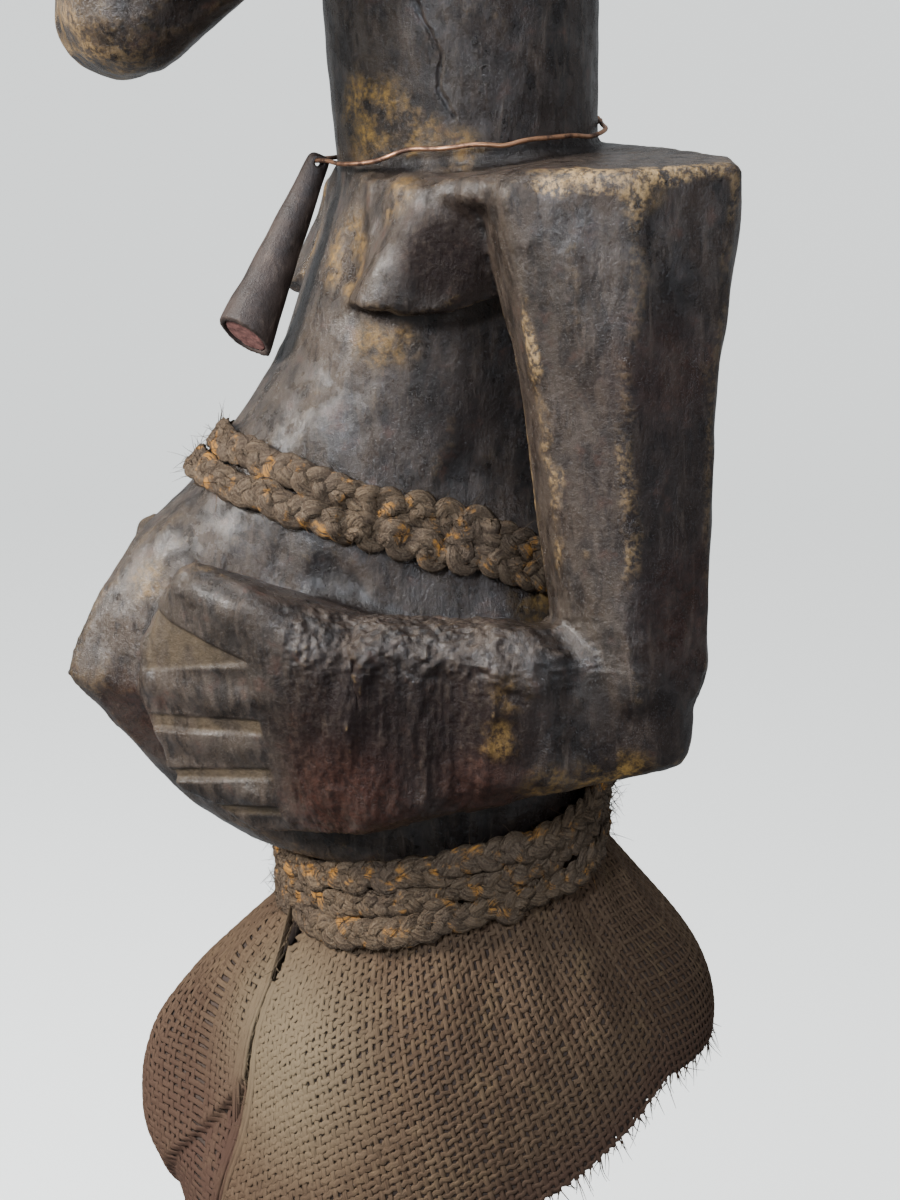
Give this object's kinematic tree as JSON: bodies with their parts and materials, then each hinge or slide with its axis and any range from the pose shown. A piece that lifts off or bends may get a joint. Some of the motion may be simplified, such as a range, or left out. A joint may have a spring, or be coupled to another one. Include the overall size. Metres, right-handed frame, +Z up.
{
  "type": "carved fertility figure",
  "caption": "Standing carved wooden female fertility doll with arms folded on a pointed belly, a wire neck loop with a horn pendant, braided belts and a burlap skirt.",
  "frame": {"origin": "centre of the plinth's flat resting face", "axes": "+Z up along the figure's height, the figure faces -Y, its left arm is at +X"},
  "size_m": [0.1558, 0.1533, 0.5656],
  "materials": {
    "carved_wood": "dark waxy patina, satin, ochre where worn",
    "copper_wire": "dull aged copper",
    "dark_horn": "satin, dark brown",
    "red_plug": "matte, reddish",
    "plant_fibre": "matte twisted fibre, orange where rubbed",
    "burlap": "matte open plain weave"
  },
  "bodies": {
    "figure": {"carved_figure": "carved_wood", "waist_braid_upper": "plant_fibre", "waist_braid_lower": "plant_fibre", "waist_knot": "plant_fibre", "hip_braid_upper": "plant_fibre", "hip_braid_middle": "plant_fibre", "hip_braid_lower": "plant_fibre", "hip_knot": "plant_fibre", "skirt_cloth": "burlap"},
    "neck_loop": {"neck_wire": "copper_wire"},
    "pendant": {"pendant_horn": "dark_horn", "pendant_plug": "red_plug"}
  },
  "joints": [
    {"name": "neck_loop_turn", "type": "hinge", "parent": "figure", "child": "neck_loop", "pos_m": [0, 0.002, 0.3944], "axis": [0, -0.1219, 0.9925], "range_deg": [-10, 10]},
    {"name": "pendant_swing", "type": "hinge", "parent": "neck_loop", "child": "pendant", "pos_m": [0, -0.03075, 0.39038], "axis": [-1, 0, 0], "range_deg": [0, 75]}
  ]
}
